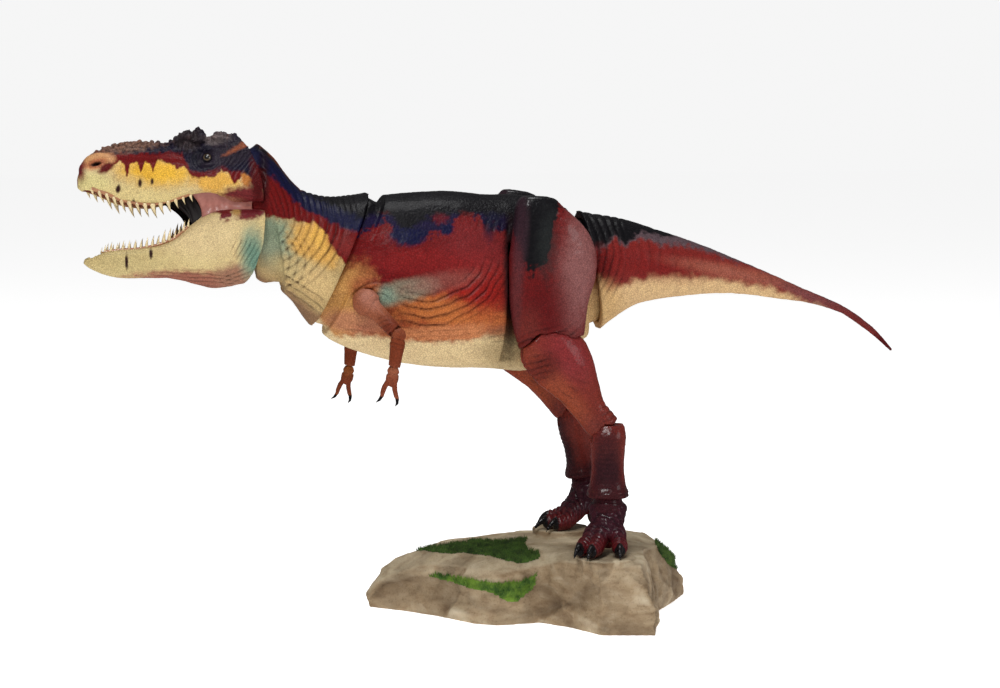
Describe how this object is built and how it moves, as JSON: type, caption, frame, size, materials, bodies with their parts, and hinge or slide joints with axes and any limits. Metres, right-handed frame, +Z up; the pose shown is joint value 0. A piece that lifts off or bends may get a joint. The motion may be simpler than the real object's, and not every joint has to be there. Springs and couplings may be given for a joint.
{
  "type": "jointed dinosaur figure",
  "caption": "Jointed toy figure of a large meat-eating dinosaur with an open mouth, standing on a display rock with moss.",
  "frame": {"origin": "middle of the rock's flat underside, on the surface that it rests on", "axes": "+Z up, -X towards the nose, +X along the tail, -Y towards the side that faces the camera in the picture"},
  "size_m": [0.5188, 0.1556, 0.3075],
  "materials": {
    "rock": "matt, washed with brown",
    "moss": "short flock",
    "body_paint": "satin painted hide, dark blue back over maroon flank and cream belly",
    "neck_paint": "satin painted hide",
    "head_paint": "satin painted hide, yellow and cream with dark blotches",
    "teeth": "glossy ivory paint",
    "mouth": "wet pink paint",
    "limb_paint": "satin painted hide",
    "arm_paint": "satin painted hide",
    "joint_plastic": "plain dark plastic",
    "pin_steel": "drawn wire"
  },
  "bodies": {
    "display_rock": {"rock_base": "rock", "moss_back": "moss", "moss_front": "moss", "moss_side": "moss"},
    "trunk": {"torso": "body_paint", "pelvis": "body_paint"},
    "neck_knuckle": {"neck_ball": "joint_plastic", "neck_pin": "pin_steel"},
    "neck": {"neck": "neck_paint"},
    "head_knuckle": {"head_ball": "joint_plastic", "head_pin": "pin_steel"},
    "head": {"skull": "head_paint", "upper_teeth": "teeth"},
    "jaw": {"lower_jaw": "head_paint", "jaw_pin": "pin_steel", "lower_teeth": "teeth", "tongue": "mouth"},
    "tail_knuckle": {"tail_ball": "joint_plastic", "tail_pin": "pin_steel"},
    "tail": {"tail": "body_paint", "tail_wire": "pin_steel"},
    "left_hip_swivel": {"left_hip_peg": "joint_plastic"},
    "left_thigh": {"left_thigh": "limb_paint", "left_hip_pin": "pin_steel"},
    "left_shin": {"left_shin": "limb_paint", "left_knee_pin": "pin_steel"},
    "left_metatarsus": {"left_metatarsus": "limb_paint", "left_hock_pin": "pin_steel"},
    "left_foot": {"left_foot": "limb_paint", "left_ankle_pin": "pin_steel"},
    "left_shoulder_swivel": {"left_shoulder_peg": "joint_plastic"},
    "left_upper_arm": {"left_upper_arm": "arm_paint", "left_shoulder_pin": "pin_steel"},
    "left_forearm": {"left_forearm": "arm_paint", "left_elbow_pin": "pin_steel"},
    "left_hand": {"left_hand": "arm_paint", "left_wrist_pin": "pin_steel"},
    "right_hip_swivel": {"right_hip_peg": "joint_plastic"},
    "right_thigh": {"right_thigh": "limb_paint", "right_hip_pin": "pin_steel"},
    "right_shin": {"right_shin": "limb_paint", "right_knee_pin": "pin_steel"},
    "right_metatarsus": {"right_metatarsus": "limb_paint", "right_hock_pin": "pin_steel"},
    "right_foot": {"right_foot": "limb_paint", "right_ankle_pin": "pin_steel"},
    "right_shoulder_swivel": {"right_shoulder_peg": "joint_plastic"},
    "right_upper_arm": {"right_upper_arm": "arm_paint", "right_shoulder_pin": "pin_steel"},
    "right_forearm": {"right_forearm": "arm_paint", "right_elbow_pin": "pin_steel"},
    "right_hand": {"right_hand": "arm_paint", "right_wrist_pin": "pin_steel"}
  },
  "joints": [
    {"name": "lift_off_rock", "type": "slide", "parent": "display_rock", "child": "trunk", "axis": [0, 0, 1], "range_m": [0, 0.06]},
    {"name": "neck_turn", "type": "hinge", "parent": "trunk", "child": "neck_knuckle", "pos_m": [-0.10896, 0, 0.22202], "axis": [0.4115, 0, 0.9114], "range_deg": [-6, 6]},
    {"name": "neck_nod", "type": "hinge", "parent": "neck_knuckle", "child": "neck", "pos_m": [-0.10896, 0, 0.22202], "axis": [0, 1, 0], "range_deg": [-5, 5]},
    {"name": "head_turn", "type": "hinge", "parent": "neck", "child": "head_knuckle", "pos_m": [-0.15998, 0, 0.25401], "axis": [-0.1736, 0, 0.9848], "range_deg": [-6, 6]},
    {"name": "head_nod", "type": "hinge", "parent": "head_knuckle", "child": "head", "pos_m": [-0.15998, 0, 0.25401], "axis": [0, 1, 0], "range_deg": [-5, 3]},
    {"name": "jaw_close", "type": "hinge", "parent": "head", "child": "jaw", "pos_m": [-0.18886, -0.00289, 0.25105], "axis": [-0.0865, 0.9888, -0.1219], "range_deg": [0, 14]},
    {"name": "tail_swing", "type": "hinge", "parent": "trunk", "child": "tail_knuckle", "pos_m": [0.03096, 0, 0.2152], "axis": [-0.1564, 0, 0.9877], "range_deg": [-6, 6]},
    {"name": "tail_lift", "type": "hinge", "parent": "tail_knuckle", "child": "tail", "pos_m": [0.03096, 0, 0.2152], "axis": [0, -1, 0], "range_deg": [-5, 5]},
    {"name": "left_hip_swing", "type": "hinge", "parent": "trunk", "child": "left_hip_swivel", "pos_m": [0.007, -0.034, 0.235], "axis": [0, -1, 0], "range_deg": [0, 8]},
    {"name": "left_hip_spread", "type": "hinge", "parent": "left_hip_swivel", "child": "left_thigh", "pos_m": [0.007, -0.034, 0.235], "axis": [-0.9984, 0, 0.0558], "range_deg": [0, 5]},
    {"name": "left_knee_flex", "type": "hinge", "parent": "left_thigh", "child": "left_shin", "pos_m": [0.00309, -0.034, 0.16511], "axis": [0, -1, 0], "range_deg": [0, 8]},
    {"name": "left_hock_flex", "type": "hinge", "parent": "left_shin", "child": "left_metatarsus", "pos_m": [0.04425, -0.034, 0.11675], "axis": [0, 1, 0], "range_deg": [0, 12]},
    {"name": "left_toes_up", "type": "hinge", "parent": "left_metatarsus", "child": "left_foot", "pos_m": [0.04425, -0.034, 0.07625], "axis": [-0.9511, 0.309, 0], "range_deg": [0, 12]},
    {"name": "left_shoulder_swing", "type": "hinge", "parent": "trunk", "child": "left_shoulder_swivel", "pos_m": [-0.10663, -0.0348, 0.202], "axis": [0, 1, 0], "range_deg": [-15, 35]},
    {"name": "left_shoulder_raise", "type": "hinge", "parent": "left_shoulder_swivel", "child": "left_upper_arm", "pos_m": [-0.10663, -0.0348, 0.202], "axis": [-0.7431, 0, -0.6691], "range_deg": [0, 12]},
    {"name": "left_elbow_flex", "type": "hinge", "parent": "left_upper_arm", "child": "left_forearm", "pos_m": [-0.0898, -0.05114, 0.1833], "axis": [-0.0385, 0.9983, 0.0428], "range_deg": [-12, 20]},
    {"name": "left_wrist_flex", "type": "hinge", "parent": "left_forearm", "child": "left_hand", "pos_m": [-0.09287, -0.05033, 0.16153], "axis": [-0.0385, 0.9983, 0.0428], "range_deg": [-20, 20]},
    {"name": "right_hip_swing", "type": "hinge", "parent": "trunk", "child": "right_hip_swivel", "pos_m": [0.007, 0.034, 0.235], "axis": [0, -1, 0], "range_deg": [0, 8]},
    {"name": "right_hip_spread", "type": "hinge", "parent": "right_hip_swivel", "child": "right_thigh", "pos_m": [0.007, 0.034, 0.235], "axis": [0.9877, 0, -0.1564], "range_deg": [0, 5]},
    {"name": "right_knee_flex", "type": "hinge", "parent": "right_thigh", "child": "right_shin", "pos_m": [-0.00395, 0.034, 0.16586], "axis": [0, -1, 0], "range_deg": [0, 8]},
    {"name": "right_hock_flex", "type": "hinge", "parent": "right_shin", "child": "right_metatarsus", "pos_m": [0.03936, 0.034, 0.11942], "axis": [0, 1, 0], "range_deg": [0, 12]},
    {"name": "right_toes_up", "type": "hinge", "parent": "right_metatarsus", "child": "right_foot", "pos_m": [0.04778, 0.034, 0.07981], "axis": [0, 1, 0], "range_deg": [0, 12]},
    {"name": "right_shoulder_swing", "type": "hinge", "parent": "trunk", "child": "right_shoulder_swivel", "pos_m": [-0.10663, 0.0348, 0.202], "axis": [0, 1, 0], "range_deg": [-15, 35]},
    {"name": "right_shoulder_raise", "type": "hinge", "parent": "right_shoulder_swivel", "child": "right_upper_arm", "pos_m": [-0.10663, 0.0348, 0.202], "axis": [0.9945, 0, 0.1045], "range_deg": [0, 12]},
    {"name": "right_elbow_flex", "type": "hinge", "parent": "right_upper_arm", "child": "right_forearm", "pos_m": [-0.10367, 0.04457, 0.17379], "axis": [0.0035, 0.9994, -0.033], "range_deg": [-12, 20]},
    {"name": "right_wrist_flex", "type": "hinge", "parent": "right_forearm", "child": "right_hand", "pos_m": [-0.10597, 0.04385, 0.15192], "axis": [0.0035, 0.9994, -0.033], "range_deg": [-20, 20]}
  ]
}
